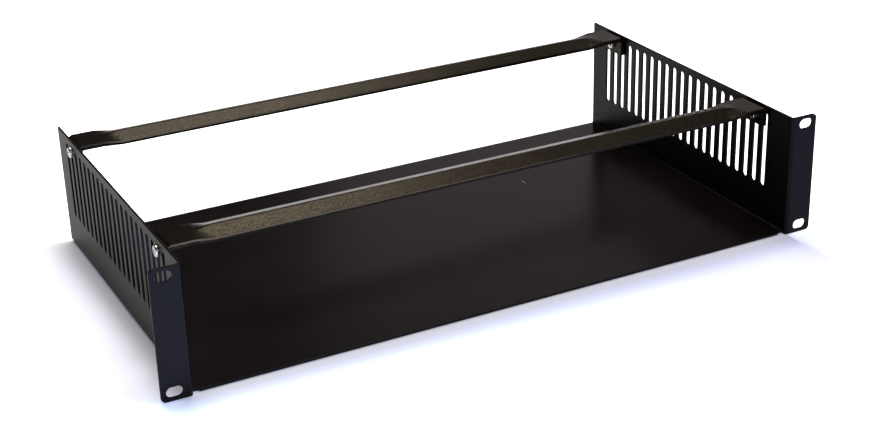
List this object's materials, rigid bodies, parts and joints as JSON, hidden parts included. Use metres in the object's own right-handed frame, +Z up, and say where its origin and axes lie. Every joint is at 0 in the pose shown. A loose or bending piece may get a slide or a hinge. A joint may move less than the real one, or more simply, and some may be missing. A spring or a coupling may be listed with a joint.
{
  "type": "cantilever rack shelf",
  "caption": "Vented two-unit rack shelf: folded steel tray with slotted side walls, front ears and pressed tie bars screwed across its open top.",
  "frame": {"origin": "midway across the width and the depth, at the underside of the floor", "axes": "+X along the rack's width, to the right seen from the front; +Y from the ears to the open rear; +Z up"},
  "size_m": [0.4826, 0.2526, 0.0892],
  "materials": {
    "tray_powder_coat": "fine satin black powder coat",
    "bar_powder_coat": "semi-gloss black powder coat with a fine orange-peel texture",
    "bright_zinc": "bright zinc plate"
  },
  "bodies": {
    "root": {"tray": "tray_powder_coat", "front_tie_bar": "bar_powder_coat", "rear_tie_bar": "bar_powder_coat", "front_left_screw": "bright_zinc", "front_left_nut": "bright_zinc", "front_right_screw": "bright_zinc", "front_right_nut": "bright_zinc", "rear_left_screw": "bright_zinc", "rear_left_nut": "bright_zinc", "rear_right_screw": "bright_zinc", "rear_right_nut": "bright_zinc"}
  },
  "joints": []
}
